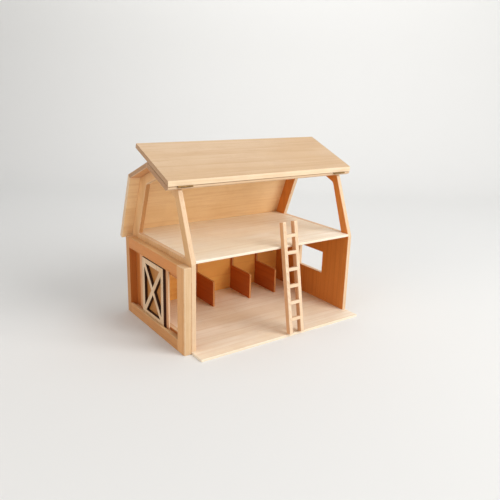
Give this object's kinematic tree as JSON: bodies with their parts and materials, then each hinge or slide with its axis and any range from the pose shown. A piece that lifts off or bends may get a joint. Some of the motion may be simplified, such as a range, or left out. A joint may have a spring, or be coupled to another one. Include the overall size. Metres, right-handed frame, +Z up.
{
  "type": "toy barn",
  "caption": "Wooden toy barn with an open front, loft, stall partitions, leaning ladder, sliding crossed side door and a hinged front roof board that folds open.",
  "frame": {"origin": "middle of the walls' footprint, on the floor board's underside", "axes": "+X along the barn to the viewer's right, the open front faces -Y, +Z up"},
  "size_m": [0.556, 0.3975, 0.4698],
  "materials": {
    "wall_wood": "satin",
    "roof_wood": "satin",
    "door_wood": "satin",
    "ladder_wood": "satin",
    "hinge_steel": "satin"
  },
  "bodies": {
    "barn": {"base_board": "wall_wood", "back_wall": "wall_wood", "left_end_panel": "wall_wood", "right_end_panel": "wall_wood", "loft_board": "wall_wood", "stall_partition_left": "wall_wood", "stall_partition_middle": "wall_wood", "stall_partition_right": "wall_wood", "roof_back_lower": "roof_wood", "roof_back_upper": "roof_wood", "roof_front_upper": "roof_wood", "door_top_rail": "wall_wood", "door_bottom_rail": "wall_wood", "door_front_stile": "wall_wood", "door_rear_stile": "wall_wood", "hinge_left_fixed_leaf": "hinge_steel", "hinge_left_pin": "hinge_steel", "hinge_right_fixed_leaf": "hinge_steel", "hinge_right_pin": "hinge_steel", "fixed_leaf_screws": "hinge_steel"},
    "flap": {"roof_flap": "roof_wood", "hinge_left_moving_leaf": "hinge_steel", "hinge_right_moving_leaf": "hinge_steel", "moving_leaf_screws": "hinge_steel"},
    "door": {"door_panel": "door_wood", "door_cross_frame": "door_wood"},
    "ladder": {"ladder_left_stile": "ladder_wood", "ladder_right_stile": "ladder_wood", "ladder_rung_1": "ladder_wood", "ladder_rung_2": "ladder_wood", "ladder_rung_3": "ladder_wood", "ladder_rung_4": "ladder_wood", "ladder_rung_5": "ladder_wood", "ladder_rung_6": "ladder_wood"}
  },
  "joints": [
    {"name": "flap_hinge", "type": "hinge", "parent": "barn", "child": "flap", "pos_m": [0, -0.11016, 0.38927], "axis": [1, 0, 0], "range_deg": [0, 210]},
    {"name": "door_slide", "type": "slide", "parent": "barn", "child": "door", "axis": [0, 1, 0], "range_m": [-0.074, 0.0325]},
    {"name": "ladder_slide", "type": "slide", "parent": "barn", "child": "ladder", "axis": [1, 0, 0], "range_m": [-0.2, 0.18]}
  ]
}
